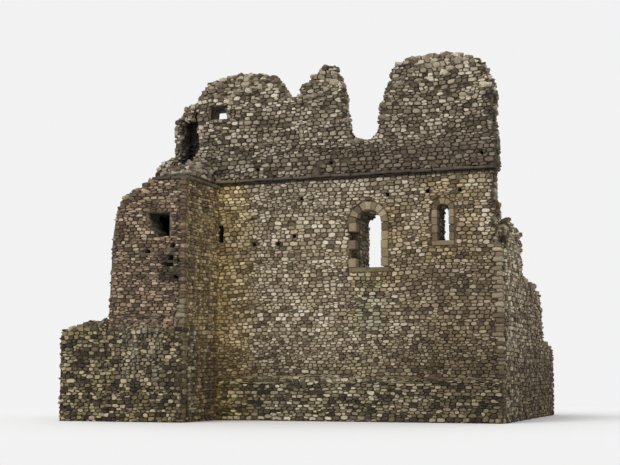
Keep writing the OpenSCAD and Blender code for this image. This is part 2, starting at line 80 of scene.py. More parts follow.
# Rubble stone: local limestone and river boulders laid in lime mortar. One stone material serves
# every facing. A stone reads its own tint, and the part of the building it belongs to as a zone,
# and weather, together with painted shade and painted light in places, is laid over both stone and
# mortar by place on the building.
WALL, TURRET, UPPER, FOOT, SLAB = range(5)
PALETTES = {
    WALL: [
        (0.00, (0.090, 0.062, 0.035)), (0.14, (0.190, 0.142, 0.084)), (0.36, (0.285, 0.224, 0.140)),
        (0.58, (0.380, 0.310, 0.203)), (0.80, (0.490, 0.415, 0.290)), (0.95, (0.630, 0.556, 0.415)),
    ],
    TURRET: [
        (0.00, (0.053, 0.031, 0.017)), (0.20, (0.105, 0.067, 0.040)), (0.42, (0.162, 0.107, 0.063)),
        (0.62, (0.222, 0.151, 0.092)), (0.82, (0.301, 0.215, 0.134)), (0.96, (0.451, 0.348, 0.237)),
    ],
    UPPER: [
        (0.00, (0.053, 0.039, 0.024)), (0.16, (0.120, 0.093, 0.060)), (0.36, (0.204, 0.167, 0.115)),
        (0.58, (0.299, 0.250, 0.178)), (0.78, (0.405, 0.348, 0.260)), (0.94, (0.552, 0.491, 0.387)),
    ],
    FOOT: [
        (0.00, (0.020, 0.015, 0.009)), (0.20, (0.058, 0.046, 0.025)), (0.40, (0.138, 0.112, 0.060)),
        (0.62, (0.228, 0.188, 0.108)), (0.82, (0.355, 0.301, 0.189)), (0.95, (0.560, 0.494, 0.352)),
    ],
    # The drip slabs are kept dark, partly their own weathered stone and partly painted shade along the
    # drip's edge
    SLAB: [
        (0.00, (0.048, 0.036, 0.025)), (0.50, (0.092, 0.072, 0.052)), (1.00, (0.180, 0.148, 0.112)),
    ],
}


def put(tree, kind, inputs=None, **settings):
    """A node in a tree. Inputs are values or sockets, by name or by number."""
    new = tree.nodes.new(kind)
    for key, value in settings.items():
        setattr(new, key, value)
    for key, value in (inputs or {}).items():
        if isinstance(key, int):
            socket = new.inputs[key]
        else:
            socket = next(s for s in new.inputs if s.name == key and s.enabled)
        if isinstance(value, bpy.types.NodeSocket):
            tree.links.new(value, socket)
        else:
            socket.default_value = value
    return new


def out(node, name=None):
    """A node's live output of that name, or its first."""
    return next(s for s in node.outputs if s.enabled and name in (None, s.name))


def sums(tree, operation, a, b=0.0, c=0.0):
    """The result of a sum, product or comparison of numbers."""
    return out(put(tree, "ShaderNodeMath", {0: a, 1: b, 2: c}, operation=operation))


def times(tree, first, *factors):
    """The product of several numbers."""
    for factor in factors:
        first = sums(tree, "MULTIPLY", first, factor)
    return first


def blend(tree, factor, a, b, kind="MIX"):
    """Two colours mixed, or the first one multiplied by the second, by a factor."""
    node = tree.nodes.new("ShaderNodeMix")
    node.data_type = "RGBA"
    node.blend_type = kind
    for socket, value in zip((node.inputs[0], node.inputs[6], node.inputs[7]), (factor, a, b)):
        if isinstance(value, bpy.types.NodeSocket):
            tree.links.new(value, socket)
        elif isinstance(value, tuple):
            socket.default_value = (*value, 1.0)
        else:
            socket.default_value = value
    return node.outputs[2]


def ramp(tree, factor, stops):
    """A colour ramp through stops of (place, colour)."""
    node = put(tree, "ShaderNodeValToRGB", {0: factor})
    marks = node.color_ramp.elements
    while len(marks) < len(stops):
        marks.new(0.5)
    for mark, (place, colour) in zip(marks, stops):
        mark.position = place
        mark.color = (*colour, 1.0)
    return out(node)


def span(tree, value, low, high):
    """0 where a value is at low and 1 where it is at high, clamped."""
    return out(put(tree, "ShaderNodeMapRange", {"Value": value, "From Min": low, "From Max": high}))


def within(tree, value, low, high, soft):
    """1 where a value lies between low and high, and 0 from a soft edge outside them."""
    return times(tree, span(tree, value, low - soft, low), span(tree, value, high + soft, high))


def grain(tree, place, scale, detail=3.0, roughness=0.55):
    """A noise value at a place."""
    return out(put(
        tree, "ShaderNodeTexNoise",
        {"Vector": place, "Scale": scale, "Detail": detail, "Roughness": roughness},
    ))


def new_material(name):
    """An empty material and its tree."""
    material = bpy.data.materials.new(name)
    material.use_nodes = True
    material.node_tree.nodes.clear()
    return material, material.node_tree


def finish_material(tree, colour, roughness, bump_height, distance):
    """The shader of a rough mineral surface, with its bump."""
    bump = put(tree, "ShaderNodeBump", {"Height": bump_height, "Distance": distance})
    shader = put(tree, "ShaderNodeBsdfPrincipled", {
        "Base Color": colour, "Roughness": roughness, "Normal": out(bump),
    })
    put(tree, "ShaderNodeOutputMaterial", {"Surface": out(shader)})


front_low, front_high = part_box("front_wall_base")
INNER_CORNER = front_low.x
RIGHT_CORNER = front_high.x
FRONT = front_low.y
INSIDE = front_high.y
BACK = CAD_BOX[1].y
TURRET_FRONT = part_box("turret_front_wall")[0].y
GROUND = 1.0
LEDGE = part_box("drip_course")[1].z
MAIN_WINDOW = sum(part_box("main_window_sill"), Vector()) / 2
NARROW_WINDOW = sum(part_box("narrow_window_sill"), Vector()) / 2
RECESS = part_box("recess_back")
SLIT_RIGHT = INNER_CORNER + 0.21
SLIT_FOOT, SLIT_TOP = 6.64, 7.30
ROBBED_FOOT, ROBBED_TOP = 5.0, 6.1
BROKEN_END_FOOT = 7.3


def weather_and_painted_light(tree, colour, place, damp=1.0):
    """Lichen, damp and stains laid over a masonry colour by place on the building, together with
    painted shade in hollows, recesses, under the drip course and on the far right side, and painted
    light in the inner corner.

    damp is 0 on the stones of the footing, whose own colours are those of damp stone.
    """
    split = put(tree, "ShaderNodeSeparateXYZ", {0: place})
    axes = {name: out(split, name.upper()) for name in "xyz"}
    x, y, z = axes.values()
    clouds = grain(tree, place, 0.55, 4.0, 0.6)
    fine = grain(tree, place, 2.3, 4.0, 0.65)
    patchy = span(tree, fine, 0.40, 0.60)

    def region(**sides):
        """1 in a part of the building, and 0 past a soft edge. A side is its low, high and soft."""
        first, *others = [within(tree, axes[name], *side) for name, side in sides.items()]
        return times(tree, first, *others)

    def patches(most, least):
        """Patches that vary by most over least."""
        return sums(tree, "ADD", times(tree, patchy, most), least)

    def stain_and_shade(factor, tint):
        """The colour so far, multiplied by a tint."""
        return blend(tree, factor, colour, tint, "MULTIPLY")

    def stretched(**scales):
        """A place drawn out or squeezed along the axes, so that a pattern runs down the wall."""
        drawn = {name.upper(): times(tree, axes[name], scale) for name, scale in scales.items()}
        return out(put(tree, "ShaderNodeCombineXYZ", drawn))

    on_front = times(
        tree, region(y=(FRONT - 0.3, FRONT + 0.1, 0.08)), span(tree, z, LEDGE + 0.1, LEDGE),
    )

    # Brown stain round the windows
    for window in (MAIN_WINDOW, NARROW_WINDOW):
        ring = region(x=(window.x - 0.5, window.x + 1.1, 0.5), z=(window.z - 0.4, window.z + 2.2, 0.6))
        colour = stain_and_shade(times(tree, ring, on_front, patches(0.6, 0.3)), (0.90, 0.79, 0.60))

    # Yellow-olive lichen by the inner corner, with a gain above one that is painted light, lifting the
    # shade of the corner
    corner_lichen_and_lift = times(
        tree, span(tree, x, INNER_CORNER + 1.7, INNER_CORNER + 0.1),
        span(tree, x, INNER_CORNER - 0.2, INNER_CORNER), on_front,
    )
    colour = stain_and_shade(corner_lichen_and_lift, (1.75, 1.58, 1.08))
    colour = blend(tree, times(tree, corner_lichen_and_lift, patchy, 0.30), colour, (0.430, 0.322, 0.135))

    # Browner courses towards the far corner, most of all under the narrow window
    brown = times(tree, span(tree, x, INNER_CORNER + 5.6, INNER_CORNER + 8.4), on_front)
    lower = times(tree, span(tree, z, NARROW_WINDOW.z + 0.6, NARROW_WINDOW.z - 1.2), 0.75)
    colour = stain_and_shade(times(tree, brown, sums(tree, "ADD", lower, 0.25)), (0.56, 0.52, 0.46))

    # Grey-green stain under the main window
    run = region(
        x=(MAIN_WINDOW.x - 0.35, MAIN_WINDOW.x + 0.35, 0.3),
        z=(MAIN_WINDOW.z - 2.0, MAIN_WINDOW.z - 0.3, 0.5),
    )
    colour = stain_and_shade(times(tree, run, on_front, patches(0.5, 0.4)), (0.62, 0.70, 0.64))

    # A duller strip in the lee of the drip course
    lee = times(
        tree, on_front, span(tree, z, LEDGE - 1.7, LEDGE - 0.8),
        region(x=(INNER_CORNER + 1.3, INNER_CORNER + 7.6, 0.8)),
    )
    colour = stain_and_shade(lee, (0.84, 0.84, 0.86))

    # The upper storey is paler at its open top, with a crust of lichen, than low down, and duller
    # on the left of its tallest mass
    upper = span(tree, z, LEDGE, LEDGE + 0.1)
    above = span(tree, z, LEDGE + 0.8, LEDGE + 2.9)
    colour = stain_and_shade(times(tree, upper, sums(tree, "SUBTRACT", 1.0, above)), (0.87, 0.86, 0.85))
    colour = stain_and_shade(times(tree, upper, above, patches(0.5, 0.5)), (1.10, 1.09, 1.04))
    dull = times(
        tree, region(x=(INNER_CORNER + 6.6, INNER_CORNER + 7.6, 0.5)),
        span(tree, z, LEDGE + 1.2, LEDGE + 1.8),
    )
    colour = stain_and_shade(dull, (0.80, 0.78, 0.79))

    # Band of old plaster over the drip course, streaked and brown, clear of the left end
    band = times(
        tree, region(z=(LEDGE, LEDGE + 0.85, 0.35)),
        span(tree, x, INNER_CORNER + 2.6, INNER_CORNER + 5.6),
    )
    plaster = ramp(tree, grain(tree, stretched(x=5.0, z=0.8), 1.0, 3.0), [
        (0.38, (0.060, 0.043, 0.030)), (0.62, (0.190, 0.152, 0.114)),
    ])
    colour = blend(tree, times(tree, band, 0.55), colour, plaster)
    colour = stain_and_shade(band, (0.76, 0.72, 0.68))

    # Painted shadow: a thin dark band just under the drip course
    painted_drip_shadow = region(z=(LEDGE - 0.21, LEDGE - 0.10, 0.03))
    colour = blend(tree, times(tree, painted_drip_shadow, 0.88), colour, (0.016, 0.012, 0.008))

    # The turret's right side has olive and dark runs of damp
    side = times(
        tree, region(x=(INNER_CORNER - 0.02, INNER_CORNER + 0.3, 0.03)),
        region(y=(TURRET_FRONT + 0.1, FRONT - 0.25, 0.1)), span(tree, z, LEDGE + 0.2, LEDGE - 0.4),
    )
    run_tone = grain(tree, stretched(x=1.0, y=3.4, z=0.22), 1.0, 2.0)
    olive = times(tree, side, span(tree, run_tone, 0.50, 0.66), 0.45)
    wet = times(tree, side, span(tree, run_tone, 0.51, 0.36), 0.50)
    colour = blend(tree, olive, colour, (0.330, 0.250, 0.110))
    colour = blend(tree, wet, colour, (0.066, 0.048, 0.027))
    colour = stain_and_shade(times(tree, side, damp), (1.50, 1.56, 1.36))

    # The recess in the upper wall and the slit beside the turret are painted nearly black inside, as
    # painted shade
    niche = region(
        x=(RECESS[0].x, RECESS[1].x, 0.03), y=(FRONT + 0.22, FRONT + 1.1, 0.1),
        z=(RECESS[0].z + 0.4, RECESS[1].z + 0.05, 0.3),
    )
    slit = region(
        x=(INNER_CORNER - 0.02, SLIT_RIGHT, 0.02), y=(FRONT + 0.06, INSIDE, 0.04),
        z=(SLIT_FOOT - 0.02, SLIT_TOP + 0.02, 0.02),
    )
    painted_recess_shade = times(tree, sums(tree, "MAXIMUM", niche, slit), 0.88)
    colour = blend(tree, painted_recess_shade, colour, (0.022, 0.018, 0.014))

    # Painted shade of dark hollows, in patches under the turret's window and where the far corner of
    # the upper storey has gone
    robbed = times(
        tree, region(x=(INNER_CORNER - 0.85, INNER_CORNER - 0.25, 0.2)),
        region(z=(ROBBED_FOOT, ROBBED_TOP, 0.2)), span(tree, y, TURRET_FRONT + 0.6, TURRET_FRONT + 0.3),
    )
    gone = region(x=(RIGHT_CORNER - 0.4, RIGHT_CORNER + 0.4, 0.3), z=(LEDGE + 1.4, LEDGE + 2.6, 0.4))
    painted_hollow_shade = times(tree, sums(tree, "MAXIMUM", robbed, gone), span(tree, fine, 0.43, 0.51), 0.85)
    colour = blend(tree, painted_hollow_shade, colour, (0.018, 0.013, 0.008))

    # The right side is painted darker and a little browner towards the back and at the broken end under
    # the slabs, as painted shade
    far_side = times(
        tree, span(tree, x, RIGHT_CORNER - 2.0, RIGHT_CORNER - 0.2),
        span(tree, y, FRONT + 1.8, FRONT + 5.0),
    )
    broken_end = times(
        tree, span(tree, x, RIGHT_CORNER - 0.5, RIGHT_CORNER - 0.2),
        region(z=(BROKEN_END_FOOT, LEDGE, 0.3)),
    )
    colour = stain_and_shade(sums(tree, "MAXIMUM", far_side, broken_end), (0.64, 0.60, 0.55))

    # The turret's foot and the stub of wall beside it are dark and olive with damp
    off_side = sums(
        tree, "MAXIMUM", span(tree, x, INNER_CORNER - 0.1, INNER_CORNER - 0.3),
        span(tree, y, TURRET_FRONT + 0.35, TURRET_FRONT + 0.15),
    )
    damp_foot = times(
        tree, span(tree, x, INNER_CORNER + 0.12, INNER_CORNER + 0.07),
        span(tree, z, GROUND + 2.7, GROUND + 2.3), span(tree, y, FRONT - 0.1, FRONT - 0.3), off_side,
    )
    colour = stain_and_shade(damp_foot, (0.76, 0.72, 0.62))

    # Pale streaks of lime on the turret's foot
    streaks = span(tree, grain(tree, stretched(x=9.0, z=1.0), 1.0, 3.0), 0.46, 0.62)
    limed = times(
        tree, region(x=(INNER_CORNER - 2.3, INNER_CORNER - 0.9, 0.3)),
        region(z=(GROUND + 0.7, GROUND + 2.3, 0.4)), span(tree, y, FRONT - 0.2, FRONT - 0.6),
        streaks, 0.60,
    )
    colour = blend(tree, limed, colour, (0.350, 0.315, 0.240))

    # Damp, browner courses above the footing, and darker clouds of weather over the whole
    low = times(tree, span(tree, z, GROUND + 2.2, GROUND + 0.9), patches(0.4, 0.6), damp)
    colour = stain_and_shade(low, (0.50, 0.46, 0.38))
    cloud_depth = sums(tree, "ADD", times(tree, upper, 0.25), 0.30)
    dark = times(tree, span(tree, clouds, 0.50, 0.68), cloud_depth)
    return blend(tree, dark, colour, (0.120, 0.094, 0.060))


def stone_material():
    """Rubble stones, each with a tint of its own and a paler face, whose sides are darker, partly from
    dirt and partly as painted shade of the joints.
    """
    material, tree = new_material("rubble_stone")
    place = out(put(tree, "ShaderNodeTexCoord"), "Object")
    tint = out(put(tree, "ShaderNodeAttribute", attribute_name="tint"), "Fac")
    zone = out(put(tree, "ShaderNodeAttribute", attribute_name="zone"), "Fac")
    crown = out(put(tree, "ShaderNodeAttribute", attribute_name="crown"), "Fac")
    speckle = grain(tree, place, 14.0, 5.0, 0.7)
    own = sums(tree, "SUBTRACT", times(tree, tint, 1.06), 0.03)
    shade = sums(tree, "ADD", own, times(tree, sums(tree, "SUBTRACT", speckle, 0.5), 0.8))
    colour = ramp(tree, shade, PALETTES[WALL])
    for kind in (TURRET, UPPER, FOOT, SLAB):
        here = sums(tree, "COMPARE", zone, float(kind), 0.25)
        colour = blend(tree, here, colour, ramp(tree, shade, PALETTES[kind]))
    off_footing = sums(tree, "SUBTRACT", 1.0, sums(tree, "COMPARE", zone, float(FOOT), 0.25))
    colour = weather_and_painted_light(tree, colour, place, damp=off_footing)
    # Faces off each stone's crown are darkened, partly as dirt and partly as painted shade of the
    # joints
    dirt_and_joint_shade = times(tree, sums(tree, "SUBTRACT", 1.0, crown), 0.5)
    colour = blend(tree, dirt_and_joint_shade, colour, (0.060, 0.045, 0.028))
    pits = grain(tree, place, 60.0, 3.0, 0.6)
    finish_material(tree, colour, 0.92, sums(tree, "ADD", speckle, times(tree, pits, 0.35)), 0.03)
    return material


def mortar_material():
    """Old lime mortar that shows between the stones and where one has gone, kept very dark: partly its
    own earthy colour and partly painted shade of the deep joints.
    """
    material, tree = new_material("lime_mortar")
    place = out(put(tree, "ShaderNodeTexCoord"), "Object")
    coarse = grain(tree, place, 3.4, 6.0, 0.7)
    colour = ramp(tree, coarse, [
        (0.34, (0.016, 0.012, 0.007)), (0.47, (0.078, 0.060, 0.037)), (0.64, (0.205, 0.164, 0.106)),
    ])
    colour = weather_and_painted_light(tree, colour, place)
    finish_material(tree, colour, 0.97, coarse, 0.08)
    return material


STONE = stone_material()
MORTAR = mortar_material()
for cad_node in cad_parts.values():
    cad_node.data.materials.clear()
    cad_node.data.materials.append(MORTAR)


# Dressed stones: sills, jambs and arch stones of the openings, drip slabs and corner stones.
# They are squared blocks of freestone whose edges have worn round, each set a little out of true.
# Each stands for its CAD node, apart from the corner stones, which bond with the rubble.
def islands(bm):
    """The separate blocks of a mesh, as lists of vertices."""
    left = set(bm.verts)
    while left:
        block, edge = set(), [min(left, key=lambda v: v.index)]
        while edge:
            vertex = edge.pop()
            if vertex in left:
                left.remove(vertex)
                block.add(vertex)
                edge += [e.other_vert(vertex) for e in vertex.link_edges]
        yield sorted(block, key=lambda v: v.index)


def wander(place):
    """A vector that drifts from place to place, the same on each run."""
    return Vector([noise.noise(place + Vector((0.0, 0.0, far))) for far in (0.0, 31.7, 67.3)])


def in_order(bm):
    """The same mesh with its corners and faces in the order of their places.

    A bevel makes them in no fixed order, and the random draws for the blocks go by that order.
    """
    corners = sorted(bm.verts, key=lambda v: [round(c, 5) for c in v.co])
    numbers = {vertex: i for i, vertex in enumerate(corners)}
    faces = []
    for face in bm.faces:
        ring = [numbers[vertex] for vertex in face.verts]
        first = ring.index(min(ring))
        faces.append(ring[first:] + ring[:first])
    mesh = bpy.data.meshes.new("in_order")
    mesh.from_pydata([vertex.co.copy() for vertex in corners], [], sorted(faces))
    bm.free()
    ordered = bmesh.new()
    ordered.from_mesh(mesh)
    bpy.data.meshes.remove(mesh)
    return ordered


def worn(name, mesh, zone, slot, bevel=0.02, wear=0.012, loose=0.008, out_by=(0.0, 0.0, 0.0),
         tints=(0.0, 1.0), seed=1):
    """A piece of worn blocks made from a mesh of true ones, set out by a little."""
    dice = random.Random(seed)
    bm = bmesh.new()
    bm.from_mesh(mesh)
    bmesh.ops.remove_doubles(bm, verts=bm.verts, dist=1e-5)
    bmesh.ops.dissolve_limit(bm, angle_limit=math.radians(2), verts=bm.verts, edges=bm.edges)
    bmesh.ops.bevel(bm, geom=bm.edges[:], offset=bevel, segments=1, affect="EDGES")
    bm = in_order(bm)
    bmesh.ops.subdivide_edges(bm, edges=bm.edges, cuts=1, use_grid_fill=True)
    bmesh.ops.triangulate(bm, faces=bm.faces)
    bm.verts.index_update()
    layers = {n: bm.faces.layers.float.new(n) for n in ("tint", "zone", "crown")}
    for block in islands(bm):
        shift = Vector(out_by) + Vector([dice.uniform(-loose, loose) for _ in range(3)])
        tint, clean = dice.uniform(*tints), dice.uniform(0.1, 0.9)
        for vertex in block:
            vertex.co += shift + wear * wander(vertex.co * 4.0)
            vertex.co.z = max(vertex.co.z, 0.0)
            for face in vertex.link_faces:
                face[layers["tint"]] = tint
                face[layers["zone"]] = float(zone)
                face[layers["crown"]] = clean
    made = bpy.data.meshes.new(name)
    bm.to_mesh(made)
    bm.free()
    made.materials.append(STONE)
    piece = bpy.data.objects.new(name, made)
    bpy.context.scene.collection.objects.link(piece)
    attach(piece, "root")
    return piece


def worn_node(name, zone, slot, **how):
    """Worn blocks that stand for a CAD node."""
    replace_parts(worn(name + "_worn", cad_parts[name].data, zone, slot, **how), name)


def blocks_mesh(boxes):
    """A mesh of plain blocks between pairs of corners."""
    points, faces = [], []
    for low, high in boxes:
        n = len(points)
        points += [(x, y, z) for z in (low[2], high[2]) for x, y in (
            (low[0], low[1]), (high[0], low[1]), (high[0], high[1]), (low[0], high[1]))]
        faces += [(n + 3, n + 2, n + 1, n), (n + 4, n + 5, n + 6, n + 7)]
        faces += [(n + i, n + (i + 1) % 4, n + (i + 1) % 4 + 4, n + i + 4) for i in range(4)]
    mesh = bpy.data.meshes.new("blocks")
    mesh.from_pydata(points, [], faces)
    return mesh


def quoins(x, y, into_x, into_y, low, high, seed, proud=0.05, size=1.0):
    """Corner stones up one edge, long and short by turns. into_x and into_y point into the wall."""
    dice = random.Random(seed)
    joint = 0.008
    boxes = []
    z = low
    while z < high - 0.15:
        rise = min(size * dice.uniform(0.15, 0.28), high - z)
        reach = (size * dice.uniform(0.28, 0.48), size * dice.uniform(0.18, 0.28))
        long_x = len(boxes) % 2 == 0
        run_x, run_y = reach if long_x else reach[::-1]
        xs = sorted((x - into_x * proud, x + into_x * run_x))
        ys = sorted((y - into_y * proud, y + into_y * run_y))
        boxes.append(((xs[0], ys[0], z + joint), (xs[1], ys[1], z + rise - joint)))
        z += rise
    return boxes


FORWARD = dict(out_by=(0.0, -0.035, 0.0), loose=0.014)
LOW_QUOINS_TOP = 4.4
FAR_QUOINS_TOP = 6.3
RIGHT_BACK_QUOINS_TOP, LEFT_BACK_QUOINS_TOP = 2.5, 3.4
for opening, bevel, seed in (("main_window", 0.015, 2), ("narrow_window", 0.012, 5)):
    worn_node(opening + "_sill", WALL, "dressed_stone", tints=(0.15, 0.4), seed=seed, **FORWARD)
    worn_node(opening + "_jambs", WALL, "dressed_stone", tints=(0.0, 0.8), seed=seed + 1, **FORWARD)
    worn_node(opening + "_arch", WALL, "dressed_stone", bevel=bevel, tints=(0.0, 0.8),
              seed=seed + 2, **FORWARD)
worn_node("back_doorway_arch", WALL, "dressed_stone", tints=(0.0, 0.8), seed=8)
for slabs, seed in (("drip_course", 9), ("turret_drip_course", 10)):
    worn_node(slabs, SLAB, "drip_slab", wear=0.03, loose=0.02, seed=seed)

turret_quoins = worn(
    "turret_corner_stones",
    blocks_mesh(quoins(INNER_CORNER, TURRET_FRONT, -1, 1, 0.0, LOW_QUOINS_TOP, 21, size=0.8)),
    FOOT, "dressed_stone", bevel=0.035, wear=0.03, loose=0.015, tints=(0.1, 0.8), seed=22,
)
upper_quoins = worn(
    "turret_upper_corner_stones",
    blocks_mesh(quoins(INNER_CORNER, TURRET_FRONT, -1, 1, LOW_QUOINS_TOP, LEDGE - 0.2, 28, size=0.6)),
    TURRET, "dressed_stone", bevel=0.03, wear=0.03, loose=0.015, tints=(0.0, 0.8), seed=29,
)
front_quoins = worn(
    "far_corner_stones",
    blocks_mesh(quoins(RIGHT_CORNER, FRONT, -1, 1, 0.0, FAR_QUOINS_TOP, 23, size=0.72)),
    WALL, "dressed_stone", bevel=0.035, wear=0.03, loose=0.015, tints=(0.1, 1.0), seed=24,
)
back_quoins = worn(
    "back_corner_stones",
    blocks_mesh(
        quoins(RIGHT_CORNER, BACK, -1, -1, 0.0, RIGHT_BACK_QUOINS_TOP, 25)
        + quoins(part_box("left_wall_back")[0].x, BACK, 1, -1, 0.0, LEFT_BACK_QUOINS_TOP, 26)
    ),
    WALL, "dressed_stone", bevel=0.04, wear=0.03, tints=(0.0, 0.95), seed=27,
)


# Rubble facing of the main front and its footing: limestone picked to fit, laid in rough courses
# with open joints. Each stone is one cell of a net of stones in courses, laid on the wall by a ray
# from in front of it, then drawn out of the mortar bed and dressed off in two steps.
THIN_PAIRS = 0.2
FACING_COSINE = -0.42
EDGE_DROP = 0.22
EDGE_PULL = 0.7
SHOULDER_SIZE, CROWN_SIZE, CROWN_RELIEF = 0.93, 0.84, 0.35
LEAN, MOST_LEAN = 0.22, 0.02
ANY_WAY = (-1.0, -1.0, -1.0), (1.0, 1.0, 1.0)


def zone_of(name):
    """The zone of a piece of the building, or -1 where other stones lie."""
    window = name.startswith(("main_window", "narrow_window"))
    if window or name.endswith(("drip_course", "doorway_arch")):
        return WALL if name == "narrow_window_breast" else -1
    if name in ("front_plinth", "turret_foot", "wall_stub"):
        return FOOT
    if name.startswith(("upper", "recess")) or name in ("turret_rubble", "turret_shoulder"):
        return UPPER
    if name.startswith("turret"):
        return TURRET
    return WALL


def masonry_core():
    """All the solids in one mesh, with the zone of each as an attribute, to lay the stones on."""
    solids = [(zone_of(name), cad_node.data) for name, cad_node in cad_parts.items()]
    solids += [(-1, stack.data) for stack in (turret_quoins, upper_quoins, front_quoins, back_quoins)]
    points, faces, zones = [], [], []
    for zone, mesh in solids:
        start = len(points)
        points += [vertex.co.copy() for vertex in mesh.vertices]
        faces += [[start + i for i in face.vertices] for face in mesh.polygons]
        zones += [float(zone)] * len(mesh.polygons)
    mesh = bpy.data.meshes.new("masonry_core")
    mesh.from_pydata(points, [], faces)
    mesh.attributes.new("zone", "FLOAT", "FACE").data.foreach_set("value", zones)
    core = bpy.data.objects.new("masonry_core", mesh)
    bpy.context.scene.collection.objects.link(core)
    return core


def stone_net(width, height, stone, course, seed):
    """A net of triangles between the hearts of stones that lie in rough courses.

    Each triangle keeps the corner of its three stones: on the bed between two courses, where the
    two stones of one course meet.
    """
    dice = random.Random(seed)
    squeeze = course / stone

    def sag(along, up):
        return 0.10 * noise.noise((along * 0.4, up * 0.3, seed * 7.3))

    hearts, rows, beds = [], [], []
    foot = -height / 2
    while foot < height / 2:
        rise = course * dice.uniform(0.6, 1.5)
        left = -width / 2 - dice.uniform(0.0, stone)
        while left < width / 2:
            length = stone * dice.uniform(0.45, 1.8)
            levels = (0.24, 0.76) if dice.random() < THIN_PAIRS else (dice.uniform(0.36, 0.64),)
            for level in levels:
                along = left + length * dice.uniform(0.38, 0.62)
                hearts.append(Vector((along * squeeze, foot + level * rise + sag(along, foot))))
                rows.append(len(beds))
            left += length
        beds.append(foot)
        foot += rise
    points, _, triangles, sources = geometry.delaunay_2d_cdt(hearts, [], [], 0, 1e-6)[:4]
    corners = []
    for triangle in triangles:
        places = [(points[i].x / squeeze, points[i].y) for i in triangle]
        row = [rows[sources[i][0]] for i in triangle]
        corner = (sum(p[0] for p in places) / 3, sum(p[1] for p in places) / 3)
        if max(row) - min(row) == 1:
            twins = [places[i][0] for i in range(3) if row.count(row[i]) == 2]
            middle = sum(twins) / 2
            corner = (middle, beds[max(row)] + sag(middle, beds[max(row)]))
        corners += [*corner, 0.0]
    mesh = bpy.data.meshes.new("stone_net")
    mesh.from_pydata([(p.x / squeeze, p.y, 0.0) for p in points], [], triangles)
    mesh.attributes.new("corner", "FLOAT_VECTOR", "FACE").data.foreach_set("vector", corners)
    return mesh


def tree_inputs(tree, sockets):
    """Names the inputs of a geometry tree, with the holder's own mesh first, as live sockets."""
    for name, kind in [("Geometry", "Geometry")] + sockets:
        tree.interface.new_socket(name, in_out="INPUT", socket_type="NodeSocket" + kind)
    tree.interface.new_socket("Geometry", in_out="OUTPUT", socket_type="NodeSocketGeometry")
    return {s.name: s for s in tree.nodes.new("NodeGroupInput").outputs if s.name}


def vectors(tree, operation, a, b=(0.0, 0.0, 0.0), scale=1.0):
    """The result of a sum, product or scaling of vectors."""
    return out(put(tree, "ShaderNodeVectorMath", {0: a, 1: b, 3: scale}, operation=operation))


def chance(tree, low, high, seed, kind="FLOAT"):
    """A random value for each element."""
    return out(put(
        tree, "FunctionNodeRandomValue", {"Min": low, "Max": high, "Seed": seed}, data_type=kind,
    ))


def keep(tree, geometry_in, name, value, domain, kind="FLOAT"):
    """The geometry with a value stored on it by name."""
    return out(put(
        tree, "GeometryNodeStoreNamedAttribute",
        {"Geometry": geometry_in, "Name": name, "Value": value}, data_type=kind, domain=domain,
    ))


def kept(tree, name, kind="FLOAT"):
    """A value stored by name."""
    return out(put(tree, "GeometryNodeInputNamedAttribute", {"Name": name}, data_type=kind))


def moved(tree, geometry_in, offset, selection=True):
    """The geometry with its points moved by an offset."""
    return out(put(tree, "GeometryNodeSetPosition", {
        "Geometry": geometry_in, "Selection": selection, "Offset": offset,
    }))


def finish_tree(tree, geometry_in):
    """Ends a geometry tree with plain stone that goes no lower than the ground."""
    real = put(tree, "GeometryNodeRealizeInstances", {"Geometry": geometry_in})
    place = out(tree.nodes.new("GeometryNodeInputPosition"))
    above = vectors(tree, "MAXIMUM", place, (-1000.0, -1000.0, 0.0))
    flat = put(tree, "GeometryNodeSetPosition", {"Geometry": out(real), "Position": above})
    done = put(tree, "GeometryNodeSetMaterial", {"Geometry": out(flat), "Material": STONE})
    put(tree, "NodeGroupOutput", {0: out(done)})


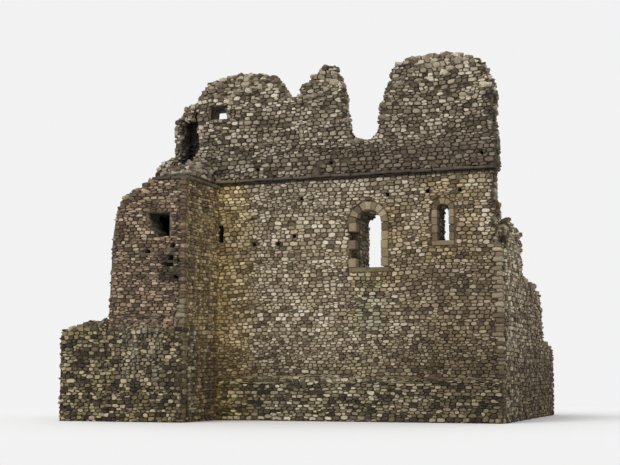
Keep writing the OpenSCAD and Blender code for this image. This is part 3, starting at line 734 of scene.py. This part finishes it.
def facing_tree():
    """Stones laid on a wall from in front of it."""
    tree = bpy.data.node_groups.new("rubble_facing", "GeometryNodeTree")
    given = tree_inputs(tree, [
        ("Core", "Object"), ("Middle", "Vector"), ("Tip", "Float"), ("Turn", "Float"),
        ("Joint", "Float"), ("Relief", "Float"), ("Sink", "Float"), ("Reach", "Float"),
        ("Robbed", "Float"), ("Rough", "Float"), ("Square", "Float"), ("Seed", "Int"),
    ])
    seed = given["Seed"]
    place = out(tree.nodes.new("GeometryNodeInputPosition"))
    cells = put(tree, "GeometryNodeDualMesh", {"Mesh": given["Geometry"]})

    # Each corner of a cell moves most of the way to its true corner, so that the stones lie square
    to_corner = vectors(tree, "SUBTRACT", kept(tree, "corner", "FLOAT_VECTOR"), place)
    cells = moved(tree, out(cells), vectors(tree, "SCALE", to_corner, scale=given["Square"]))

    # The sheet of cells stands in front of its wall and looks at it
    turned = out(put(tree, "ShaderNodeCombineXYZ", {"X": given["Tip"], "Z": given["Turn"]}))
    rotation = out(put(tree, "FunctionNodeEulerToRotation", {"Euler": turned}))
    sheet = put(tree, "GeometryNodeTransform", {
        "Geometry": cells, "Translation": given["Middle"], "Rotation": rotation,
    })
    away = out(put(tree, "FunctionNodeRotateVector", {
        "Vector": (0.0, 0.0, -1.0), "Rotation": rotation,
    }))
    core = out(put(tree, "GeometryNodeObjectInfo", {"Object": given["Core"]}), "Geometry")
    ray = put(tree, "GeometryNodeRaycast", {
        "Target Geometry": core, "Attribute": kept(tree, "zone"), "Ray Direction": away,
        "Ray Length": given["Reach"],
    }, mapping="NEAREST")
    cosine = put(
        tree, "ShaderNodeVectorMath", {0: out(ray, "Hit Normal"), 1: away}, operation="DOT_PRODUCT",
    )
    straight = sums(tree, "LESS_THAN", out(cosine, "Value"), FACING_COSINE)
    own = sums(tree, "GREATER_THAN", out(ray, "Attribute"), -0.5)
    luck = chance(tree, 0.0, 1.0, sums(tree, "ADD", seed, 7.0))
    present = sums(tree, "GREATER_THAN", luck, given["Robbed"])
    laid = times(tree, out(ray, "Is Hit"), straight, own, present)
    marked = keep(tree, out(sheet), "depth", out(ray, "Hit Distance"), "FACE")
    marked = keep(tree, marked, "zone", out(ray, "Attribute"), "FACE")
    marked = keep(tree, marked, "laid", laid, "FACE")
    marked = keep(tree, marked, "heart", place, "FACE", "FLOAT_VECTOR")
    tint = chance(tree, 0.0, 1.0, sums(tree, "ADD", seed, 3.0))
    marked = keep(tree, marked, "tint", tint, "FACE")
    lean = chance(tree, *ANY_WAY, sums(tree, "ADD", seed, 5.0), "FLOAT_VECTOR")
    lean = vectors(tree, "CROSS_PRODUCT", lean, away)
    marked = keep(tree, marked, "lean", lean, "FACE", "FLOAT_VECTOR")
    found = put(tree, "GeometryNodeDeleteGeometry", {
        "Geometry": marked, "Selection": sums(tree, "LESS_THAN", kept(tree, "laid"), 0.5),
    }, domain="FACE")
    single = put(tree, "GeometryNodeSplitEdges", {"Mesh": out(found)})

    # A corner that would hang past an edge of the wall is drawn in towards the stone's heart
    heart = kept(tree, "heart", "FLOAT_VECTOR")
    halfway = vectors(tree, "SCALE", vectors(tree, "ADD", heart, place), scale=0.5)
    half_ray = put(tree, "GeometryNodeRaycast", {
        "Target Geometry": core, "Source Position": halfway, "Ray Direction": away,
        "Ray Length": given["Reach"],
    })
    on_wall = times(tree, out(ray, "Is Hit"), own, out(half_ray, "Is Hit"))
    for hit in (ray, half_ray):
        past = sums(tree, "SUBTRACT", out(hit, "Hit Distance"), kept(tree, "depth"))
        level = sums(tree, "LESS_THAN", sums(tree, "ABSOLUTE", past), EDGE_DROP)
        on_wall = times(tree, on_wall, level)
    pull = times(tree, sums(tree, "SUBTRACT", 1.0, on_wall), EDGE_PULL)
    inward = vectors(tree, "SCALE", vectors(tree, "SUBTRACT", heart, place), scale=pull)
    drawn = moved(tree, out(single), inward)
    bed = sums(tree, "ADD", kept(tree, "depth"), given["Sink"])
    bedded = moved(tree, drawn, vectors(tree, "SCALE", away, scale=bed))
    gap = times(tree, given["Joint"], chance(tree, 0.5, 1.6, sums(tree, "ADD", seed, 11.0)))
    jointed = out(put(tree, "GeometryNodeScaleElements", {
        "Geometry": bedded, "Scale": sums(tree, "SUBTRACT", 1.0, gap),
    }))

    # Two steps out of the bed, each a little smaller, round the stone off
    proud = times(tree, given["Relief"], chance(tree, 0.2, 1.0, sums(tree, "ADD", seed, 13.0)))
    body = put(tree, "GeometryNodeExtrudeMesh", {
        "Mesh": jointed, "Offset Scale": sums(tree, "ADD", given["Sink"], proud),
    })
    shoulder = put(tree, "GeometryNodeScaleElements", {
        "Geometry": out(body, "Mesh"), "Selection": out(body, "Top"), "Scale": SHOULDER_SIZE,
    })
    cap = put(tree, "GeometryNodeExtrudeMesh", {
        "Mesh": out(shoulder), "Selection": out(body, "Top"),
        "Offset Scale": times(tree, given["Relief"], CROWN_RELIEF),
    })
    top = put(tree, "GeometryNodeScaleElements", {
        "Geometry": out(cap, "Mesh"), "Selection": out(cap, "Top"), "Scale": CROWN_SIZE,
    })
    # crown is 1 on each stone's face; the stone material paints the other faces darker, partly as dirt
    # and partly as painted shade of the joints
    crowned = keep(tree, out(top), "crown", out(cap, "Top"), "FACE")

    # The face of each stone leans a little its own way
    from_heart = vectors(tree, "SUBTRACT", place, heart)
    slope = put(
        tree, "ShaderNodeVectorMath", {0: from_heart, 1: kept(tree, "lean", "FLOAT_VECTOR")},
        operation="DOT_PRODUCT",
    )
    lift = times(tree, out(slope, "Value"), LEAN)
    lift = out(put(tree, "ShaderNodeClamp", {"Value": lift, "Min": -MOST_LEAN, "Max": MOST_LEAN}))
    crowned = moved(tree, crowned, vectors(tree, "SCALE", away, scale=lift), out(cap, "Top"))
    back = put(tree, "GeometryNodeFlipFaces", {"Mesh": jointed})
    whole = tree.nodes.new("GeometryNodeJoinGeometry")
    tree.links.new(crowned, whole.inputs[0])
    tree.links.new(out(back), whole.inputs[0])
    closed = put(tree, "GeometryNodeMergeByDistance", {"Geometry": out(whole), "Distance": 0.0004})
    knock = chance(tree, *ANY_WAY, seed, "FLOAT_VECTOR")
    rough = vectors(tree, "SCALE", knock, scale=given["Rough"])
    clean = moved(tree, out(closed), rough)
    for name in ("corner", "depth", "heart", "laid", "lean"):
        clean = out(put(tree, "GeometryNodeRemoveAttribute", {"Geometry": clean, "Name": name}))
    finish_tree(tree, clean)
    return tree


def grow(name, tree, mesh, **values):
    """The mesh that a geometry tree makes of a mesh and these inputs, by their names."""
    holder = bpy.data.objects.new(name, mesh)
    bpy.context.scene.collection.objects.link(holder)
    modifier = holder.modifiers.new(name, "NODES")
    modifier.node_group = tree
    for socket in tree.interface.items_tree:
        if socket.in_out == "INPUT" and socket.name in values:
            modifier[socket.identifier] = values[socket.name]
    bpy.context.view_layer.update()
    grown = holder.evaluated_get(bpy.context.evaluated_depsgraph_get())
    made = bpy.data.meshes.new_from_object(grown)
    bpy.data.objects.remove(holder)
    return made


def stone_piece(name, meshes):
    """One piece of stones, made of several meshes, that rides with the building."""
    parts = []
    for mesh in meshes:
        part = bpy.data.objects.new(name, mesh)
        bpy.context.scene.collection.objects.link(part)
        parts.append(part)
    if len(parts) > 1:
        with bpy.context.temp_override(active_object=parts[0], selected_editable_objects=parts):
            bpy.ops.object.join()
    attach(parts[0], "root")


CORE = masonry_core()
FACING = facing_tree()

# Ways that a wall can face, as the turn of the sheet that stands in front of it
TO_FRONT, TO_RIGHT, TO_BACK, TO_LEFT = 0.0, 90.0, 180.0, 270.0
OFF = 0.6


def facing(turn, low, high, stone=0.23, course=0.13, relief=0.055, sink=0.06, reach=0.9,
           robbed=0.015, joint=0.08, rough=0.011, square=0.55, seed=1, tip=90.0):
    """A mesh of stones on the wall behind the sheet between two corners."""
    low, high = Vector(low), Vector(high)
    size = high - low
    width, height = (size.x if turn in (TO_FRONT, TO_BACK) else size.y), size.z
    if tip != 90.0:
        width, height = size.x, size.y
    return grow(
        "facing", FACING, stone_net(width + 2 * stone, height + 2 * course, stone, course, seed),
        Core=CORE, Middle=(low + high) / 2, Tip=math.radians(tip), Turn=math.radians(turn),
        Joint=joint, Relief=relief, Sink=sink, Reach=reach, Robbed=robbed, Rough=rough,
        Square=square, Seed=seed,
    )


FOOTING_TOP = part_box("front_plinth")[1].z
stone_piece("front_facing", [
    facing(TO_FRONT, (INNER_CORNER, FRONT - OFF, FOOTING_TOP), (RIGHT_CORNER, FRONT - OFF, LEDGE - 0.1),
           stone=0.20, course=0.125, square=0.42, seed=11),
])
stone_piece("footing_facing", [
    facing(TO_FRONT, (INNER_CORNER, FRONT - OFF, 0.0), (RIGHT_CORNER, FRONT - OFF, FOOTING_TOP),
           stone=0.22, course=0.13, relief=0.07, square=0.42, seed=12),
])


# Rubble of the upper storey: the same limestone, looser and more weathered. It faces the broken
# masses over the drip course and turns onto their flanks, the sides of the recess and of the small
# notch, where the ragged core stands out of the mortar.
TOP = CAD_BOX[1].z
TURRET_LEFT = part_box("turret_foot")[0].x
BROKEN = dict(stone=0.28, course=0.15, relief=0.10, sink=0.16, robbed=0.03, rough=0.016, square=0.3)
PINNACLE_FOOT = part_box("upper_pinnacle")[0].z
HUMP_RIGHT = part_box("upper_left_crag")[1].x
NOTCH_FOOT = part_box("upper_wall_band")[1].z
NOTCH_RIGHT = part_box("upper_right_crag")[0].x
FAR_END_FOOT = 7.1


def flank(turn, x, foot, top, reach, seed, depth=1.6):
    """Broken stones on the flank of the front wall behind a sheet at x."""
    return facing(turn, (x, FRONT, foot), (x, FRONT + depth, top), reach=reach, seed=seed, **BROKEN)


stone_piece("upper_facing", [
    facing(TO_FRONT, (TURRET_LEFT, FRONT - OFF, LEDGE), (RIGHT_CORNER, FRONT - OFF, TOP),
           stone=0.22, course=0.14, reach=1.6, relief=0.09, sink=0.16, robbed=0.05, rough=0.015,
           square=0.42, seed=21),
])
stone_piece("upper_flanks_facing", [
    flank(TO_RIGHT, RIGHT_CORNER + OFF, LEDGE, TOP, reach=1.6, seed=41),
    flank(TO_RIGHT, RIGHT_CORNER + OFF, FAR_END_FOOT, LEDGE - 0.1, reach=1.4, seed=42, depth=1.8),
    flank(TO_RIGHT, NOTCH_RIGHT - 0.1, NOTCH_FOOT, TOP, reach=1.9, seed=43),
    flank(TO_LEFT, NOTCH_RIGHT - 0.4, NOTCH_FOOT, TOP, reach=2.0, seed=44),
    flank(TO_RIGHT, HUMP_RIGHT + 0.2, PINNACLE_FOOT, TOP, reach=1.4, seed=45),
    flank(TO_LEFT, HUMP_RIGHT, PINNACLE_FOOT, TOP, reach=1.5, seed=46),
    flank(TO_LEFT, TURRET_LEFT - 0.2, LEDGE, TOP, reach=3.4, seed=47),
    flank(TO_RIGHT, RECESS[1].x - 0.1, LEDGE, RECESS[1].z, reach=0.9, seed=48, depth=1.0),
])


# Rubble of the turret: small brown slabs in thin courses, over a foot of boulders and the stub of
# wall that once met it, whose broken end shows its core.
PLAIN = dict(stone=0.31, course=0.18, relief=0.07)
SLABS_FOOT = 3.3
FOOT_TOP = 3.7
STUB_LEFT = CAD_BOX[0].x
STUB_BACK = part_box("wall_stub")[1].y
stone_piece("turret_facing", [
    facing(TO_FRONT, (TURRET_LEFT, TURRET_FRONT - OFF, SLABS_FOOT),
           (INNER_CORNER, TURRET_FRONT - OFF, LEDGE + 0.6),
           stone=0.22, course=0.105, relief=0.075, robbed=0.04, reach=1.6, square=0.5, seed=31),
    facing(TO_RIGHT, (INNER_CORNER + OFF, TURRET_FRONT, 0.0), (INNER_CORNER + OFF, FRONT, LEDGE + 0.6),
           stone=0.22, course=0.12, relief=0.06, seed=32),
])
stone_piece("foot_facing", [
    facing(TO_FRONT, (STUB_LEFT, TURRET_FRONT - OFF, 0.0), (INNER_CORNER, TURRET_FRONT - OFF, FOOT_TOP),
           stone=0.20, course=0.12, relief=0.085, robbed=0.04, rough=0.016, square=0.35, seed=33),
    facing(TO_LEFT, (STUB_LEFT - OFF, TURRET_FRONT, 0.0), (STUB_LEFT - OFF, STUB_BACK, FOOT_TOP),
           seed=34, **BROKEN),
    facing(TO_BACK, (STUB_LEFT, STUB_BACK + OFF, 0.0), (TURRET_LEFT, STUB_BACK + OFF, FOOT_TOP),
           seed=35, **PLAIN),
])


# Rubble of the other three sides and of the walls towards the hall: plainer and larger stones in
# thicker courses, laid as those of the main front are.
LEFT_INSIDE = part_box("left_wall_back")[1].x
RIGHT_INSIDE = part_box("right_wall_back")[0].x
BACK_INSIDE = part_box("back_wall_left")[0].y
RIGHT_TOP, LEFT_TOP, BACK_TOP = 7.3, 7.6, 4.6
LEFT_END_FOOT, RIGHT_END_FOOT = 7.0, 6.9
stone_piece("right_wall_facing", [
    facing(TO_RIGHT, (RIGHT_CORNER + OFF, FRONT, 0.0), (RIGHT_CORNER + OFF, BACK, RIGHT_TOP),
           stone=0.23, course=0.135, relief=0.07, robbed=0.03, seed=51),
    facing(TO_LEFT, (RIGHT_INSIDE - OFF, INSIDE, 0.0), (RIGHT_INSIDE - OFF, BACK_INSIDE, RIGHT_TOP),
           seed=52, **PLAIN),
])
stone_piece("left_wall_facing", [
    facing(TO_LEFT, (TURRET_LEFT - OFF, TURRET_FRONT, 0.0), (TURRET_LEFT - OFF, BACK, LEDGE + 0.2),
           reach=1.9, seed=53, **PLAIN),
    facing(TO_RIGHT, (LEFT_INSIDE + OFF, INSIDE, 0.0), (LEFT_INSIDE + OFF, BACK_INSIDE, LEFT_TOP),
           seed=54, **PLAIN),
])
stone_piece("back_wall_facing", [
    facing(TO_BACK, (TURRET_LEFT, BACK + OFF, 0.0), (RIGHT_CORNER, BACK + OFF, BACK_TOP),
           seed=55, **PLAIN),
    facing(TO_FRONT, (LEFT_INSIDE, BACK_INSIDE - OFF, 0.0), (RIGHT_INSIDE, BACK_INSIDE - OFF, BACK_TOP),
           seed=56, **PLAIN),
])
stone_piece("front_inside_facing", [
    facing(TO_BACK, (LEFT_INSIDE, INSIDE + 0.8, 0.0), (RIGHT_INSIDE, INSIDE + 0.8, LEDGE),
           seed=57, **PLAIN),
    facing(TO_BACK, (TURRET_LEFT, INSIDE + 0.2, LEFT_END_FOOT), (LEFT_INSIDE, INSIDE + 0.2, LEDGE),
           seed=58, **PLAIN),
    facing(TO_BACK, (RIGHT_INSIDE, INSIDE + 0.2, RIGHT_END_FOOT), (RIGHT_CORNER, INSIDE + 0.2, LEDGE),
           seed=59, **PLAIN),
])
stone_piece("upper_inside_facing", [
    facing(TO_BACK, (TURRET_LEFT, INSIDE + 0.3, LEDGE), (RIGHT_CORNER, INSIDE + 0.3, TOP),
           reach=1.6, stone=0.31, course=0.17, relief=0.085, sink=0.14, robbed=0.03, seed=60),
])


# Rubble of the reveals: the sides, soffit and bottom of the two windows and of the back doorway.
# Its stones are laid nearly flush, so that they leave the light of each opening clear.
def reveals(middle, y0, y1, low, spring, crown, seed):
    """The sides, soffit and bottom of an opening through a wall along X."""
    flush = dict(stone=0.24, course=0.14, relief=0.03, sink=0.05)
    half = 0.6
    return [
        facing(TO_RIGHT, (middle, y0, low), (middle, y1, spring), reach=0.9, seed=seed, **flush),
        facing(TO_LEFT, (middle, y0, low), (middle, y1, spring), reach=0.9, seed=seed + 1, **flush),
        facing(TO_FRONT, (middle - half, y0, low + 0.3), (middle + half, y1, low + 0.3),
               reach=crown - low, seed=seed + 2, tip=180.0, **flush),
        facing(TO_FRONT, (middle - half, y0, spring), (middle + half, y1, spring),
               reach=spring - low + 0.3, seed=seed + 3, tip=0.0, **flush),
    ]


door_low, door_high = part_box("back_doorway_arch")
stone_piece("reveal_facing", [
    *reveals(MAIN_WINDOW.x, FRONT, INSIDE, MAIN_WINDOW.z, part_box("main_window_arch")[0].z,
             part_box("main_window_arch")[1].z, 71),
    *reveals(NARROW_WINDOW.x, FRONT, INSIDE, NARROW_WINDOW.z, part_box("narrow_window_arch")[0].z,
             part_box("narrow_window_arch")[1].z, 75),
    *reveals((door_low.x + door_high.x) / 2, BACK_INSIDE, BACK, 0.0, door_low.z, door_high.z, 79)[:3],
])


# Loose rubble: stones that lie half bedded in the ragged tops of the walls, where the facings have
# gone. Each is a rounded block, knocked out of shape, set on the core wherever it looks up.
LEAST_ROCK, MOST_ROCK = (0.16, 0.14, 0.09), (0.40, 0.30, 0.22)
BALL_RADIUS, ROUNDING = 0.62, 0.65
LEAST_RISE, HEADROOM = 0.15, 6.0


def rubble_tree():
    """Stones strewn on every open top."""
    tree = bpy.data.node_groups.new("top_rubble", "GeometryNodeTree")
    given = tree_inputs(tree, [
        ("Core", "Object"), ("Spacing", "Float"), ("Density", "Float"), ("Low", "Float"),
        ("Seed", "Int"),
    ])
    place = out(tree.nodes.new("GeometryNodeInputPosition"))
    normal = out(tree.nodes.new("GeometryNodeInputNormal"))
    slope = out(put(tree, "ShaderNodeSeparateXYZ", {0: normal}), "Z")
    height = out(put(tree, "ShaderNodeSeparateXYZ", {0: place}), "Z")
    core = out(put(tree, "GeometryNodeObjectInfo", {"Object": given["Core"]}), "Geometry")
    open_top = times(
        tree, sums(tree, "GREATER_THAN", slope, LEAST_RISE),
        sums(tree, "GREATER_THAN", height, given["Low"]),
        sums(tree, "GREATER_THAN", kept(tree, "zone"), -0.5),
    )
    spread = put(tree, "GeometryNodeDistributePointsOnFaces", {
        "Mesh": core, "Selection": open_top, "Distance Min": given["Spacing"],
        "Density Max": given["Density"], "Seed": given["Seed"],
    }, distribute_method="POISSON")
    above = put(tree, "GeometryNodeRaycast", {
        "Target Geometry": core, "Source Position": vectors(tree, "ADD", place, (0.0, 0.0, 0.02)),
        "Ray Direction": (0.0, 0.0, 1.0), "Ray Length": HEADROOM,
    })
    bare = put(tree, "GeometryNodeDeleteGeometry", {
        "Geometry": out(spread, "Points"), "Selection": out(above, "Is Hit"),
    }, domain="POINT")

    # A cube drawn two thirds of the way towards a ball
    cube = put(tree, "GeometryNodeMeshCube", {
        "Size": (1.0, 1.0, 1.0), "Vertices X": 3, "Vertices Y": 3, "Vertices Z": 3,
    })
    ball = vectors(tree, "SCALE", vectors(tree, "NORMALIZE", place), scale=BALL_RADIUS)
    rounded = vectors(tree, "SCALE", vectors(tree, "SUBTRACT", ball, place), scale=ROUNDING)
    rock = moved(tree, out(cube, "Mesh"), rounded)
    turn = chance(tree, (-0.3, -0.3, 0.0), (0.3, 0.3, 2 * math.pi), 5, "FLOAT_VECTOR")
    strewn = put(tree, "GeometryNodeInstanceOnPoints", {
        "Points": out(bare), "Instance": rock,
        "Rotation": out(put(tree, "FunctionNodeEulerToRotation", {"Euler": turn})),
        "Scale": chance(tree, LEAST_ROCK, MOST_ROCK, 6, "FLOAT_VECTOR"),
    })
    tinted = keep(tree, out(strewn), "tint", chance(tree, 0.05, 1.0, 7), "INSTANCE")
    real = out(put(tree, "GeometryNodeRealizeInstances", {"Geometry": tinted}))
    bumps = put(tree, "ShaderNodeTexNoise", {"Vector": place, "Scale": 6.0, "Detail": 1.0})
    knocks = out(bumps, "Color")
    offset = vectors(tree, "SCALE", vectors(tree, "SUBTRACT", knocks, (0.5, 0.5, 0.5)), scale=0.16)
    finish_tree(tree, keep(tree, moved(tree, real, offset), "crown", 0.85, "FACE"))
    return tree


stone_piece("top_rubble", [
    grow("top_rubble", rubble_tree(), bpy.data.meshes.new("nothing"),
         Core=CORE, Spacing=0.16, Density=26.0, Low=1.6, Seed=91),
])
bpy.data.objects.remove(CORE)


# The studio floor is pale paper that runs on into the backdrop, so that no horizon shows. The
# light is an even overcast sky and one broad soft lamp from the front left.
PAPER = (0.89, 0.89, 0.89)
FLOOR_REACH = 260.0
FADE_START, FADE_END = 9.0, 24.0


def floor_material():
    """Pale paper that takes the keep's shadow near it and turns into the backdrop further off."""
    material, tree = new_material("studio_floor")
    place = out(put(tree, "ShaderNodeTexCoord"), "Object")
    far = out(put(tree, "ShaderNodeVectorMath", {0: place}, operation="LENGTH"), "Value")
    paper = put(tree, "ShaderNodeBsdfPrincipled", {
        "Base Color": (0.78, 0.78, 0.78, 1.0), "Roughness": 0.9,
    })
    glow = put(tree, "ShaderNodeEmission", {"Color": (*PAPER, 1.0)})
    fade = span(tree, far, FADE_START, FADE_END)
    mix = put(tree, "ShaderNodeMixShader", {0: fade, 1: out(paper), 2: out(glow)})
    put(tree, "ShaderNodeOutputMaterial", {"Surface": out(mix)})
    return material


floor_mesh = bpy.data.meshes.new("studio_floor")
floor_mesh.from_pydata([
    (-FLOOR_REACH, -FLOOR_REACH, 0), (FLOOR_REACH, -FLOOR_REACH, 0),
    (FLOOR_REACH, FLOOR_REACH, 0), (-FLOOR_REACH, FLOOR_REACH, 0),
], [], [(0, 1, 2, 3)])
floor_mesh.materials.append(floor_material())
floor = bpy.data.objects.new("studio_floor", floor_mesh)
bpy.context.scene.collection.objects.link(floor)

world = bpy.data.worlds.new("studio")
bpy.context.scene.world = world
world.use_nodes = True
sky = world.node_tree
sky.nodes.clear()
backdrop = put(sky, "ShaderNodeBackground", {"Color": (*PAPER, 1.0), "Strength": 1.0})
put(sky, "ShaderNodeOutputWorld", {"Surface": out(backdrop)})

lamp_data = bpy.data.lights.new("soft_sun", "SUN")
lamp_data.energy = 1.5
lamp_data.angle = math.radians(30)
lamp = bpy.data.objects.new("soft_sun", lamp_data)
lamp.rotation_euler = (math.radians(50), 0, math.radians(-25))
bpy.context.scene.collection.objects.link(lamp)

bpy.context.scene.view_settings.view_transform = "Standard"
